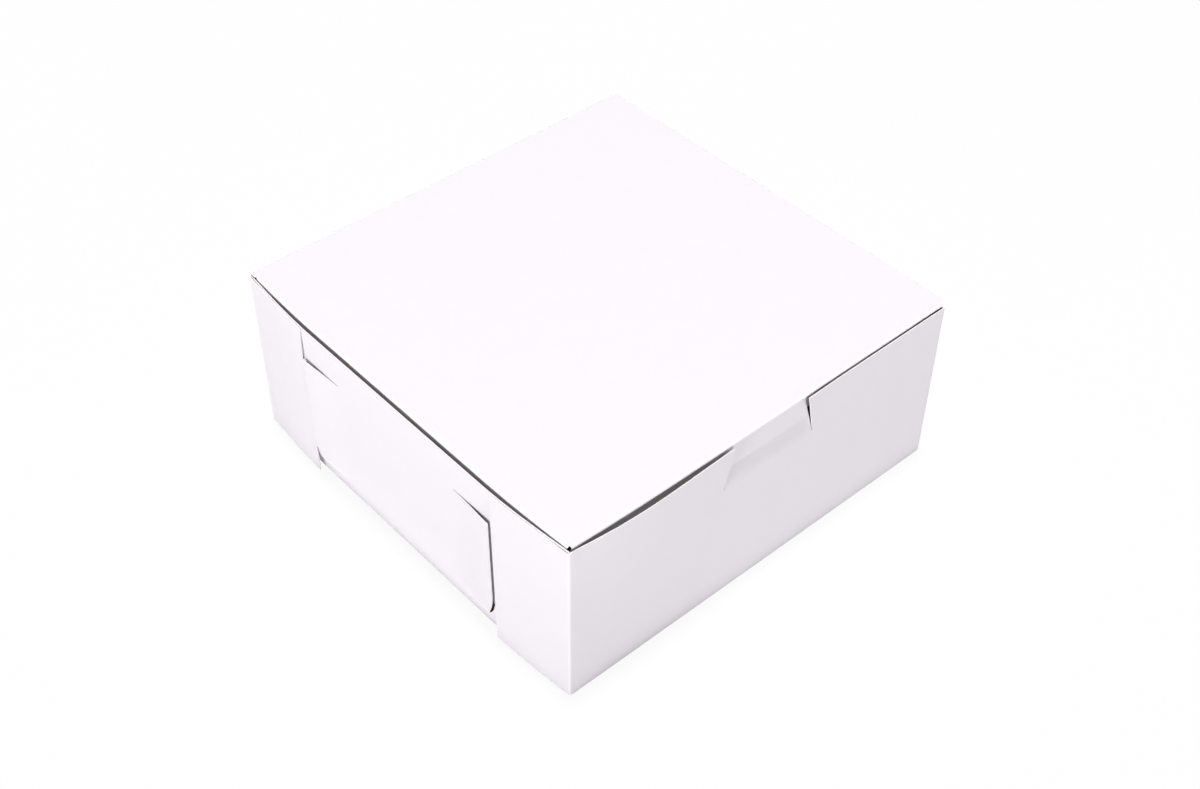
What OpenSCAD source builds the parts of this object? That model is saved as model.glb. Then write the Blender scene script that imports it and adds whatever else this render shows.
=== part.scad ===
// Lock-corner cake box with a tuck-in lid, folded from one sheet of white board.
// The front wall faces -Y, the lid's crease is along the top of the back wall at +Y, and Z is up.
// The origin is at the middle of the underside.

/* [Box] */
// Outside width, between the creases of the left and right corners
box_w = 254; // [200:1:360]
// Outside depth, from the front wall to the back wall
box_d = 254; // [200:1:360]
// Outside height of the closed box
box_h = 105; // [90:1:150]
// Drop from the back wall's crease to the top edges of the other walls
wall_drop = 0.8; // [0.4:0.1:1.5]
// Thickness of the board
board_t = 0.5; // [0.4:0.05:0.8]
// Outside radius of every pressed crease
crease_r = 1.2; // [1:0.1:2]
// Clearance between two layers of board
lap_gap = 0.3; // [0.2:0.05:0.5]

/* [Corner locks] */
// Width of a corner flap, from the corner to its free edge
flap_w = 51; // [40:1:58]
// How far a flap's hook reaches past the free edge
hook_reach = 18; // [12:1:22]
// Height of a hook's lower end above the underside
hook_low = 19; // [18:1:26]
// Rise of a hook's lower edge from its root to its tip
hook_taper = 14; // [4:1:20]
// Radius of a hook's rounded tip
hook_tip_r = 8; // [5:0.5:10]
// Drop from the wall's top edge to a lock's level cut
lock_drop = 20; // [18:1:32]
// Length of a lock's level cut
lock_run = 28; // [24:1:34]
// Height of the lower end of a lock's cut
lock_low = 8; // [6:0.5:10]
// Radius of the lower bend of a lock's cut
lock_bend_r = 32; // [26:1:38]
// Angle that the lower bend turns through
lock_bend_turn = 44; // [30:1:50]
// Distance from a flap's free edge to the lock's upright cut
lock_margin = 1; // [0.5:0.1:2]
// Width of every knife cut in the walls
cut_w = 0.4; // [0.3:0.05:0.6]
// How far a flap's free edge springs out at its foot
flap_foot_out = 3.4; // [2.5:0.1:4]
// How far a flap's free edge springs out at its top
flap_top_out = 4.2; // [3:0.1:5]
// How far a hook bends in under its tongue
hook_dive = 1.2; // [0.6:0.1:1.6]
// Drop from the walls' top edge to the flaps' top edge
flap_drop = 0.8; // [0.4:0.1:2]

/* [Walls] */
// Outward bulge of a side wall, low down between its locks
side_bulge = 3.6; // [3:0.1:4.2]
// Height up to which a side wall swells
bulge_z = 40; // [32:1:46]
// Outward bulge of a side wall's top edge
side_top_bulge = 3.7; // [3:0.1:4.2]
// Distance from a corner over which the side walls, the flaps and the lid's edges swell
swell_run = 60; // [56:1:70]
// Outward bow of the front wall's top on each side of the tab
front_bow = 2.2; // [1:0.1:3]
// Outward bow of the front wall at the tab
tab_bow = 1.4; // [0.8:0.1:2]

/* [Front lock] */
// Width of the tab between the two cuts, at the wall's top edge
tab_w = 50; // [40:1:70]
// Depth of the two cuts beside the tab
tab_h = 25; // [20:1:30]
// How far each cut slants outward on its way down
tab_flare = 5.5; // [3:0.5:8]
// Radius of the hooked lower end of each cut
tab_hook_r = 3; // [2:0.5:4]

/* [Lid] */
// Clearance between the walls and the lid's front lip
lip_gap = 0.8; // [0.8:0.05:1.2]
// Clearance between a side wall and the lid's side ear
ear_gap = 0.35; // [0.3:0.05:1]
// Outward bulge of the lid's side edges
lid_bulge = 2.2; // [1:0.1:2.6]
// Outward bow of the lid's front edge
lid_bow = 1.3; // [0.5:0.1:1.6]
// Depth of the lip in front of the tab, from the lid's top
lip_mid = 13; // [10:0.5:15]
// Depth of the lip on each side, from the lid's top
lip_side = 19; // [16:0.5:20]
// How far the lip's lower edge stands out over the tab
lip_lift = 2; // [1.9:0.05:2.3]
// How far the lip leans in beside the tab
lip_lean = 0.8; // [0:0.1:1]
// Depth of the side ears, from the lid's top
ear_h = 30; // [20:1:40]
// Slant of an ear's ends, from top to bottom
ear_slant = 12; // [6:1:16]
// Radius of an ear's lower corners
ear_corner_r = 8; // [4:1:12]
// How far an ear's lower edge springs in from the side wall
ear_lean = 3; // [1:0.1:4]
// Size of the clipped front corners of the lid
corner_clip = 2; // [1.5:0.5:5]
// Clearance between the lid's hinge bead and the back wall
bead_gap = 0.15; // [0.1:0.05:0.3]

/* [Hidden] */

white = "#fbfafb";
shade = "#f3f1f4";

// Places that the panels share
side_x = box_w / 2 - board_t - lap_gap;
end_y = box_d / 2 - board_t - lap_gap;
back_h = box_h - board_t - bead_gap;
wall_h = back_h - wall_drop;
flap_top = wall_h - flap_drop;
relief = 0.5;

// Lock cut: an upright run, a bend that turns away from the corner, and a level run at the top
lock_u = flap_w + lock_margin;
lock_z = wall_h - lock_drop;
bend_z = lock_low + lock_bend_r * sin(lock_bend_turn);
hook_top = lock_z - 2 * cut_w;
hook_end = flap_w + hook_reach;

// Tongue of the side wall that lies over the hook
tongue_rise = hook_low - lock_low - lock_margin;

// Front tab, which leans in behind the lip
tab_z = wall_h - tab_h;
tab_foot = tab_w / 2 + tab_flare;
tab_tuck = lip_gap + 2 * board_t + lap_gap;

// Lid
lid_x = side_x - board_t - ear_gap;
lid_y = box_d / 2 - board_t - lip_gap;
bead_y = box_d / 2 - board_t / 2;
bead_z = box_h - board_t / 2;
lip_half = lid_x - corner_clip;
lip_end = 6;
ear_front = box_d / 2 - lid_y + corner_clip;
ear_rear = 5;
edge_strip = 10;

function clamp01(t) = max(0, min(1, t));
function smooth(t) = let (c = clamp01(t)) c * c * (3 - 2 * c);
function mix(a, b, t) = a + (b - a) * t;
function steps(a, b, n) = [for (k = [0 : n - 1]) mix(a, b, k / n)];
function backward(list) = [for (k = [len(list) - 1 : -1 : 0]) list[k]];

// Rise of a swell from a corner to its full height, u from the corner
function swell(u) = sin(90 * clamp01((u - crease_r) / (swell_run - crease_r)));

// Outward bulge of a side wall at height z: it grows from the bottom crease up to bulge_z, and
// then eases to its top value.
function bulge(z) =
    z < bulge_z
        ? side_bulge * (1 - pow(1 - (z - crease_r) / (bulge_z - crease_r), 2))
        : mix(side_bulge, side_top_bulge, smooth((z - bulge_z - lock_run / 2) / (wall_h - bulge_z - lock_run / 2)));

// Outward place of a side wall that nothing lifts
function wall_out(u, z) = bulge(z) * swell(u);

// Distance of a lock's upright cut from the corner, at height z
function cut_u(z) =
    let (below = max(0, bend_z - max(z, lock_low)))
    lock_u + lock_bend_r - sqrt(pow(lock_bend_r, 2) - pow(below, 2));

// Outward place of a corner flap, which lies against the wall or springs off it
function flap_out(u, z) =
    lap_gap + board_t + max(mix(flap_foot_out, flap_top_out, z / wall_h), bulge(z)) * swell(u);

// Outward place of the tongue, the part of the side wall past a cut. Its free edge lies just clear
// of the flap, and it eases into the wall over lock_run.
function tongue(u, z) =
    let (edge = cut_u(z))
    let (lifted = smooth((z - lock_low) / tongue_rise))
    let (edge_out = mix(wall_out(edge, z), flap_out(edge, z) + board_t + lap_gap, lifted))
    mix(edge_out, wall_out(u, z), smooth((u - edge) / lock_run));

// Outward place of a hook, which carries on from the flap and bends in under the tongue
function hook_out(u, z) =
    u < cut_u(z) ? flap_out(u, z)
                 : min(flap_out(u, z), tongue(u, z) - board_t - lap_gap)
                   - hook_dive * smooth((u - cut_u(z)) / (2 * hook_dive));

// Outward bow of the front wall: a swell on each side of the tab, and less at the tab
function bow(x, z) =
    (front_bow * pow(sin(360 * x / box_w), 2) + tab_bow * pow(cos(180 * x / box_w), 2))
    * pow(max(0, z - crease_r) / (wall_h - crease_r), 1.5);

// A bent sheet of board. Its grid runs across by up, at(a, b) gives [x, outward, z] of a point,
// a cell for which open(a, b) is true at its middle is cut away, and the board's thickness is laid
// off along inward(b).
module bent_board(across, up, at, open, inward = function(b) [0, board_t, 0]) {
    rows = len(up);
    count = len(across) * rows;
    last_i = len(across) - 2;
    last_j = rows - 2;
    outer = [for (a = across) for (b = up) let (p = at(a, b)) [p[0], -p[1], p[2]]];
    inner = [for (k = [0 : len(outer) - 1]) outer[k] + inward(up[k % rows])];
    held = [for (i = [0 : last_i]) [for (j = [0 : last_j])
        !open((across[i] + across[i + 1]) / 2, (up[j] + up[j + 1]) / 2)]];
    function is_held(i, j) = i >= 0 && i <= last_i && j >= 0 && j <= last_j && held[i][j];
    function quad(a, b, c, d) = [[a, b, c], [a, c, d]];
    polyhedron(
        concat(outer, inner),
        [for (i = [0 : last_i]) for (j = [0 : last_j]) if (held[i][j])
            let (a = i * rows + j, b = a + 1, c = a + rows + 1, d = a + rows)
            let (e = a + count, f = b + count, g = c + count, h = d + count)
            each concat(
                quad(a, b, c, d),
                quad(e, h, g, f),
                is_held(i, j - 1) ? [] : quad(a, d, h, e),
                is_held(i + 1, j) ? [] : quad(d, c, g, h),
                is_held(i, j + 1) ? [] : quad(c, b, f, g),
                is_held(i - 1, j) ? [] : quad(b, a, e, f))]);
}

// A quarter turn of board along Z, from a panel that faces -X to one that faces -Y
module crease(run) {
    rotate([0, 0, 180])
        rotate_extrude(angle = 90, $fn = 64)
            translate([crease_r - board_t, 0])
                square([board_t, run]);
}

// The same quarter turn along X, from a panel that faces -Y to one that faces -Z
module floor_crease(run) {
    translate([-run / 2, 0, 0])
        rotate([0, 0, 90])
            rotate([90, 0, 0])
                crease(run);
}

// Left wall's own frame: X runs from the back to the front, and the outside faces -Y
module on_left() {
    rotate([0, 0, -90]) children();
}

module both_sides() {
    children();
    mirror([1, 0, 0]) children();
}

// Bottom panel and the four creases that the walls turn up on
module bottom() {
    half_w = side_x - crease_r;
    half_d = box_d / 2 - crease_r;
    translate([-half_w, -half_d, 0])
        cube([2 * half_w, 2 * half_d, board_t]);
    for (turn = [0, 180])
        rotate([0, 0, turn])
            translate([0, -half_d, crease_r])
                floor_crease(2 * (half_w - relief));
    both_sides()
        on_left()
            translate([0, -half_w, crease_r])
                floor_crease(2 * (half_d - relief));
}

// Side wall with its two lock cuts; the middle bulges and its tongues lie over the hooks
module side_wall() {
    half = box_d / 2;
    lock_cols = concat(
        steps(board_t + lap_gap, lock_u, 5),
        [lock_u],
        steps(lock_u + cut_w, lock_u + lock_run, 6),
        [lock_u + lock_run]);
    across = concat(
        [for (u = lock_cols) u - half],
        [for (u = backward(lock_cols)) half - u]);
    up = concat(
        [crease_r],
        [lock_low / 2],
        steps(lock_low, bend_z, 6),
        steps(bend_z, lock_z - cut_w, 6),
        [lock_z - cut_w],
        steps(lock_z, wall_h, 4),
        [wall_h]);
    // Columns beside a cut follow its lower bend
    follow = function(u, z)
        let (shift = cut_u(z) - lock_u)
        u + shift * (u <= lock_u ? (u - board_t - lap_gap) / (lock_u - board_t - lap_gap)
                                 : (half - u) / (half - lock_u));
    at = function(a, z)
        let (u = half - abs(a), v = follow(u, z))
        [sign(a) * (half - v),
         side_x + (u <= lock_u || z >= lock_z ? wall_out(v, z) : tongue(v, z)),
         z];
    open = function(a, z)
        let (u = half - abs(a))
        (u > lock_u && u < lock_u + cut_w && z > lock_low && z < lock_z)
        || (u > lock_u && u < lock_u + lock_run && z > lock_z - cut_w && z < lock_z);
    bent_board(across, up, at, open);
}

// Corner flap with its hook, for the front end of the left wall; u runs from the corner
module corner_flap() {
    half = box_d / 2;
    tip_from = hook_end - hook_tip_r;
    across = concat(
        steps(crease_r, flap_w, 5),
        [flap_w],
        steps(lock_u, tip_from, 4),
        [for (k = [0 : 5]) tip_from + hook_tip_r * sin(18 * k)]);
    up = concat([crease_r], steps(hook_low, hook_top, 9), [hook_top, flap_top]);
    round_off = function(u)
        u < tip_from ? 0
                     : hook_tip_r - sqrt(max(0, pow(hook_tip_r, 2) - pow(u - tip_from, 2)));
    low = function(u) hook_low + hook_taper * (u - flap_w) / hook_reach + round_off(u);
    high = function(u) hook_top - round_off(u);
    at = function(u, b)
        let (z = u <= flap_w ? b : mix(low(u), high(u), (b - hook_low) / (hook_top - hook_low)))
        [u, side_x + hook_out(u, z), z];
    open = function(u, b) u > flap_w && (b < hook_low || b > hook_top);
    translate([half, 0, 0])
        mirror([1, 0, 0])
            bent_board(across, up, at, open);
}

// The crease that joins a corner flap to the front wall's left end
module corner_crease() {
    translate([crease_r - box_w / 2, crease_r - box_d / 2, crease_r])
        crease(flap_top - crease_r);
}

// Hooked lower end of a cut beside the front tab
module tab_cut_hook() {
    depth = front_bow + tab_bow + 2 * board_t;
    translate([tab_foot + cut_w / 2 + tab_hook_r, 2 * board_t - box_d / 2, tab_z])
        rotate([90, 0, 0])
            rotate([0, 0, 180])
                rotate_extrude(angle = 205, $fn = 48)
                    translate([tab_hook_r - cut_w / 2, 0])
                        square([cut_w, depth + 2 * board_t]);
}

// Front wall: its top bows out, and a tab between two cuts leans in behind the lid's lip
module front_wall() {
    half = box_w / 2 - crease_r;
    half_cols = concat(
        steps(0, tab_w / 2, 3),
        [tab_w / 2],
        steps(tab_w / 2 + cut_w, half, 7),
        [half]);
    across = concat(
        [for (k = [len(half_cols) - 1 : -1 : 1]) -half_cols[k]],
        half_cols);
    up = concat(steps(crease_r, tab_z, 6), steps(tab_z, wall_h, 4), [wall_h]);
    // Columns beside a cut slant with it
    slant = function(a, z)
        let (shift = tab_flare * clamp01((wall_h - z) / tab_h), r = abs(a))
        sign(a) * (r + shift * (r <= tab_w / 2 ? r / (tab_w / 2) : (half - r) / (half - tab_w / 2)));
    at = function(a, z)
        let (x = slant(a, z))
        [x,
         box_d / 2 + (abs(a) <= tab_w / 2 && z > tab_z
                     ? mix(bow(x, tab_z), -tab_tuck, (z - tab_z) / tab_h)
                     : bow(x, z)),
         z];
    open = function(a, z) abs(a) > tab_w / 2 && abs(a) < tab_w / 2 + cut_w && z > tab_z;
    difference() {
        bent_board(across, up, at, open);
        both_sides() tab_cut_hook();
    }
}

module back_wall() {
    half = box_w / 2 - crease_r;
    translate([-half, box_d / 2 - board_t, crease_r])
        cube([2 * half, board_t, back_h - crease_r]);
}

// The whole lower box: bottom, walls and corner flaps of one sheet
module tray() {
    color(white) {
        bottom();
        back_wall();
        both_sides() {
            on_left() side_wall();
            corner_crease();
            mirror([0, 1, 0]) corner_crease();
        }
    }
    color(shade) {
        front_wall();
        both_sides()
            on_left() {
                corner_flap();
                mirror([1, 0, 0]) corner_flap();
            }
    }
}

// Top panel, from the bead that it turns on to the creases of the lip and the ears. Behind the ears
// it runs out over the side walls.
module top_panel() {
    half = lid_x - crease_r;
    rear = box_d / 2 - ear_rear + relief;
    translate([0, 0, box_h - board_t])
        linear_extrude(board_t)
            both_sides()
                polygon([
                    [0, bead_y], [side_x, bead_y], [side_x, rear], [half, rear],
                    [half, crease_r - lid_y], [0, crease_r - lid_y]]);
    translate([-side_x, bead_y, bead_z])
        rotate([0, 90, 0])
            cylinder(d = board_t, h = 2 * side_x, $fn = 32);
}

// A strip of the top panel, its crease and the board that hangs from it, as one bent sheet. A row
// under 0 is on the panel, 0 to 90 is the angle round the crease, and 90 to 91 runs down the board.
// The crease's outer face is edge(a) out, and hang(a, share) places the hanging board.
module folded_edge(across, shares, straight, edge, hang) {
    at = function(a, b)
        b <= 0 ? [a, mix(edge(a), straight - edge_strip, -b) - crease_r * (1 + b), box_h]
        : b <= 90 ? [a, edge(a) - crease_r * (1 - sin(b)), box_h - crease_r * (1 - cos(b))]
        : hang(a, b - 90);
    bent_board(
        across,
        concat([for (share = backward(shares)) 90 + share], [90, 75, 60, 45, 30, 15, 0, -1]),
        at,
        function(a, b) false,
        function(b) let (turn = max(0, min(90, b))) board_t * [0, sin(turn), -cos(turn)]);
}

// Depth of the lip below the lid's top: shallow in front of the tab, deep beside it
function lip_depth(x) =
    let (deep = mix(lip_mid, lip_side, smooth((abs(x) - tab_foot - 2 * tab_hook_r) / lip_mid)))
    mix(deep, lip_end, smooth((abs(x) - lip_half + lip_side) / lip_side));

// Outward place of the fold along the lid's front edge
function lip_edge(x) = lid_y + lid_bow * pow(cos(180 * x / box_w), 2);

// Front lip: it stands out over the tab, and leans in behind the front wall on each side of it
module lip() {
    beside = tab_w / 2 + tab_hook_r;
    half_cols = concat(
        steps(0, beside, 4),
        steps(beside, beside + 3 * tab_hook_r, 4),
        steps(beside + 3 * tab_hook_r, lip_half - lip_side, 6),
        steps(lip_half - lip_side, lip_half, 4),
        [lip_half]);
    across = concat(
        [for (k = [len(half_cols) - 1 : -1 : 1]) -half_cols[k]],
        half_cols);
    lean = function(x) mix(lip_lift, -lip_lean, smooth((abs(x) - beside) / (3 * tab_hook_r)));
    hang = function(x, share)
        let (depth = mix(crease_r, lip_depth(x), share))
        let (reached = clamp01((depth - crease_r) / (lip_mid - crease_r)))
        [x, mix(lip_edge(x), lid_y + lean(x), reached), box_h - depth];
    folded_edge(across, [0.25, 0.5, 0.75, 1], lid_y, function(x) lip_edge(x), hang);
}

// Side ear, hung on the left edge of the top panel. Its ends slant, and its lower corners are round.
module ear() {
    full = (box_d - ear_front - ear_rear) / 2;
    middle = (ear_rear - ear_front) / 2;
    place = function(y) lid_x + lid_bulge * swell(box_d / 2 - abs(y));
    round_off = function(depth)
        let (past = max(0, depth - ear_h + ear_corner_r))
        ear_corner_r - sqrt(max(0, pow(ear_corner_r, 2) - pow(past, 2)));
    hang = function(y, share)
        let (depth = crease_r + (ear_h - crease_r) * share)
        let (length = full - ear_slant * depth / ear_h - round_off(depth))
        let (v = middle + (y - middle) * length / full)
        [v, place(v) - ear_lean * share, box_h - depth];
    across = [for (k = [-12 : 12]) middle + full * sin(7.5 * k)];
    folded_edge(
        across,
        [0.25, 0.5, for (k = [0 : 4]) 1 - (1 - sin(22.5 * k)) * ear_corner_r / (ear_h - crease_r)],
        lid_x, function(y) place(y), hang);
}

// Lid with its two ears and its front lip
module lid() {
    color(white) {
        top_panel();
        both_sides() on_left() ear();
    }
    color(shade) lip();
}

tray();
lid();
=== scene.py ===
"""Finished look of a white lock-corner cake box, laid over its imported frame.

The board classes work in millimetres, in the frame of the part: the front wall faces -Y, the lid's
crease runs along the top of the back wall, and Z is up. Meshes are written in metres.
"""

from __future__ import annotations

import logging
import math
from dataclasses import dataclass
from enum import Enum
from typing import Any, NamedTuple, Sequence

import bpy
import numpy as np
from mathutils import Matrix, Vector

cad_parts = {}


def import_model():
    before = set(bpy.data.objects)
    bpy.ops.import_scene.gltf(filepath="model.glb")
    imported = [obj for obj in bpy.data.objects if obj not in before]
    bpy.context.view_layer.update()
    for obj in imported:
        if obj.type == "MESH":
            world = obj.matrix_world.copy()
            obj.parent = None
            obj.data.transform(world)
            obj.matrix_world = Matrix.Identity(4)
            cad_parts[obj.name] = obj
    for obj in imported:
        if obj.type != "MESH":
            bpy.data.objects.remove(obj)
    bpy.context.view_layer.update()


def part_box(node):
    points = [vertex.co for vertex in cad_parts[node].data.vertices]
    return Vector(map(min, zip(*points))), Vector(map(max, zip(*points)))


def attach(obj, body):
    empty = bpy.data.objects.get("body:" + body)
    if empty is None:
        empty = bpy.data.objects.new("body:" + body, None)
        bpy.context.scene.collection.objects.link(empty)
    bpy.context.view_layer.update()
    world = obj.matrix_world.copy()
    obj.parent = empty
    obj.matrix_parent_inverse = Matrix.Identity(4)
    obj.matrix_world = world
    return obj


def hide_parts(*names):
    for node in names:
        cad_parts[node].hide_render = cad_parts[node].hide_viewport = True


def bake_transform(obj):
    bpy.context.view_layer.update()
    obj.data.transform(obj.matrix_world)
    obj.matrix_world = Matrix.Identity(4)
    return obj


Array = np.ndarray
Colour = tuple[float, float, float, float]
MM = 0.001
TINY = 1e-6
NEAR = 1e-3
QUARTER = math.pi / 2
WHITE: Colour = (1.0, 1.0, 1.0, 1.0)
LOG = logging.getLogger("cake_box")


def smooth(t: Array | float) -> Array:
    """Ease from 0 to 1: three t squared less two t cubed, with t held between 0 and 1."""
    c = np.clip(t, 0.0, 1.0)
    return c * c * (3.0 - 2.0 * c)


def mix(a: Array | float, b: Array | float, t: Array | float) -> Array:
    """Straight blend from a at t = 0 to b at t = 1."""
    return a + (b - a) * t


def spread(a: float, b: float, step: float) -> Array:
    """Evenly spaced values from a up to but without b, about step apart."""
    count = max(1, round(abs(b - a) / step))
    return np.linspace(a, b, count, endpoint=False)


def mids(values: Array) -> Array:
    """Middle of each step between neighbouring values."""
    return (values[:-1] + values[1:]) / 2


def chain(*parts: Array | list[float]) -> Array:
    """One row of values out of several."""
    return np.concatenate(parts)


def joined(left: Array, right: Array) -> Array:
    """Both halves of a grid, each given from the middle column out, which they share."""
    return np.concatenate((left[:0:-1], right))


@dataclass(frozen=True)
class Steps:
    """Spacing of the grid lines in millimetres, and numbers of lines."""

    wall: float = 3.1
    far: float = 4.0
    row: float = 2.6
    flap: float = 3.5
    hook: float = 0.9
    side: float = 6.0
    tongue: float = 1.8
    side_rows: tuple[float, float, float] = (1.8, 1.9, 3.0)
    side_top: float = 2.8
    ear: float = 2.0
    panel_share: float = 0.028
    slot_share: float = 0.006
    crease_lines: int = 6
    corner_lines: int = 8
    lip_lines: int = 9


STEPS = Steps()


class Face(Enum):
    """The four walls, each as the shares of (along, out) in x and then in y."""

    FRONT = (1, 0, 0, -1)
    BACK = (-1, 0, 0, 1)
    LEFT = (0, -1, -1, 0)
    RIGHT = (0, 1, -1, 0)

    def place(self, along: Array, out: Array, z: Array) -> Array:
        """Carry a wall's own coordinates into the frame.

        Args:
            along: Distance along the wall.
            out: Distance of the outer surface from the middle of the box.
            z: Height.

        Returns:
            Points, with x, y and z in the last axis.
        """
        along_x, out_x, along_y, out_y = self.value
        parts = (along_x * along + out_x * out, along_y * along + out_y * out, z)
        return np.stack(np.broadcast_arrays(*parts), axis=-1)


@dataclass
class Sheet:
    """A grid of points on the outer face of the board, and which of its cells are board."""

    points: Array
    held: Array
    fold: Array
    flip: bool = False

    def quads(self, first: int) -> Array:
        """Corner numbers of each held cell, turned so that its normal faces out.

        Args:
            first: Number of the sheet's first point in the whole mesh.

        Returns:
            One row of four numbers for each held cell.
        """
        across, up = self.points.shape[:2]
        number = first + np.arange(across * up).reshape(across, up)
        cells = np.stack(
            (number[:-1, :-1], number[1:, :-1], number[1:, 1:], number[:-1, 1:]), axis=-1
        )[self.held]
        return cells[:, ::-1] if self.flip else cells


@dataclass
class Board:
    """One continuous piece of board, joined from sheets and given its thickness."""

    thickness: float
    sheets: list[Sheet]
    weld_cells: float = 200.0
    weld_shift: float = 0.123

    def weld(self) -> tuple[Array, Array, Array]:
        """Join the sheets' grids at the points that they share.

        Returns:
            The points, each point's crease weight, and the quads.
        """
        firsts = np.cumsum([0] + [s.fold.size for s in self.sheets])
        points = np.concatenate([s.points.reshape(-1, 3) for s in self.sheets])
        fold = np.concatenate([s.fold.reshape(-1) for s in self.sheets])
        quads = np.concatenate([s.quads(int(n)) for s, n in zip(self.sheets, firsts)])
        keys = np.round(points * self.weld_cells + self.weld_shift).astype(np.int64)
        _, kept, where = np.unique(keys, axis=0, return_index=True, return_inverse=True)
        quads = where.reshape(-1)[quads]
        used, quads_flat = np.unique(quads, return_inverse=True)
        return points[kept][used], fold[kept][used], quads_flat.reshape(quads.shape)

    def normals(self, points: Array, quads: Array) -> Array:
        """Normal at each point: the sum of the cross products of the diagonals of its quads."""
        corners = points[quads]
        cross = np.cross(corners[:, 2] - corners[:, 0], corners[:, 3] - corners[:, 1])
        total = np.zeros_like(points)
        for corner in range(4):
            np.add.at(total, quads[:, corner], cross)
        return total / np.maximum(np.linalg.norm(total, axis=1, keepdims=True), TINY**2)

    def build(self, name: str, materials: Sequence[bpy.types.Material]) -> bpy.types.Object:
        """Make the mesh: outer face, inner face one thickness behind it, and cut edges.

        Args:
            name: Name of the piece.
            materials: Materials of the outer face, the inner face and the cut edges.

        Returns:
            The finished object, at the origin.
        """
        outer, fold, quads = self.weld()
        inner = outer - self.thickness * self.normals(outer, quads)
        count = len(outer)
        starts = quads.reshape(-1)
        ends = np.roll(quads, -1, axis=1).reshape(-1)
        forward = starts * count + ends
        backward = ends * count + starts
        rim = ~np.isin(forward, backward)
        a, b = starts[rim], ends[rim]
        faces = np.concatenate(
            (quads, quads[:, ::-1] + count, np.stack((b, a, a + count, b + count), axis=1))
        )
        slots = np.repeat((0, 1, 2), (len(quads), len(quads), len(a)))
        mesh = bpy.data.meshes.new(name)
        mesh.from_pydata((np.concatenate((outer, inner)) * MM).tolist(), [], faces.tolist())
        mesh.polygons.foreach_set("material_index", slots.astype(np.int32))
        mesh.polygons.foreach_set("use_smooth", np.ones(len(faces), dtype=bool))
        weight = mesh.attributes.new("fold", "FLOAT", "POINT")
        weight.data.foreach_set("value", np.tile(fold, 2).astype(np.float32))
        self.sharpen(mesh, np.concatenate((a, a + count)), np.concatenate((b, b + count)))
        for material in materials:
            mesh.materials.append(material)
        mesh.validate()
        mesh.update()
        piece = bpy.data.objects.new(name, mesh)
        bpy.context.scene.collection.objects.link(piece)
        return piece

    @staticmethod
    def sharpen(mesh: bpy.types.Mesh, a: Array, b: Array) -> None:
        """Mark the edges from points a to points b as sharp, so that a cut edge stays crisp."""
        size = len(mesh.vertices)
        pairs = np.empty(len(mesh.edges) * 2, dtype=np.int32)
        mesh.edges.foreach_get("vertices", pairs)
        pairs = np.sort(pairs.reshape(-1, 2).astype(np.int64), axis=1)
        wanted = np.minimum(a, b).astype(np.int64) * size + np.maximum(a, b)
        sharp = mesh.attributes.new("sharp_edge", "BOOLEAN", "EDGE")
        sharp.data.foreach_set("value", np.isin(pairs[:, 0] * size + pairs[:, 1], wanted))


@dataclass(frozen=True)
class BoxSizes:
    """Outside sizes of the box, in millimetres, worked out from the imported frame."""

    width: float
    depth: float
    height: float
    board: float = 0.5
    crease: float = 1.2
    lap: float = 0.3
    bead_gap: float = 0.15
    wall_drop: float = 0.8

    @staticmethod
    def from_frame() -> BoxSizes:
        """Read the back wall's plane and the lid's top from the frame; the plan is square."""
        depth = 2.0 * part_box("tray")[1].y / MM
        return BoxSizes(depth, depth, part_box("lid")[1].z / MM)

    @property
    def side(self) -> float:
        """Distance of a side wall's outer face from the middle."""
        return self.width / 2 - self.board - self.lap

    @property
    def back_top(self) -> float:
        """Height of the back wall's top edge, under the crease that it shares with the lid."""
        return self.height - self.board - self.bead_gap

    @property
    def wall_top(self) -> float:
        """Height of the other walls' top edges."""
        return self.back_top - self.wall_drop


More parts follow.
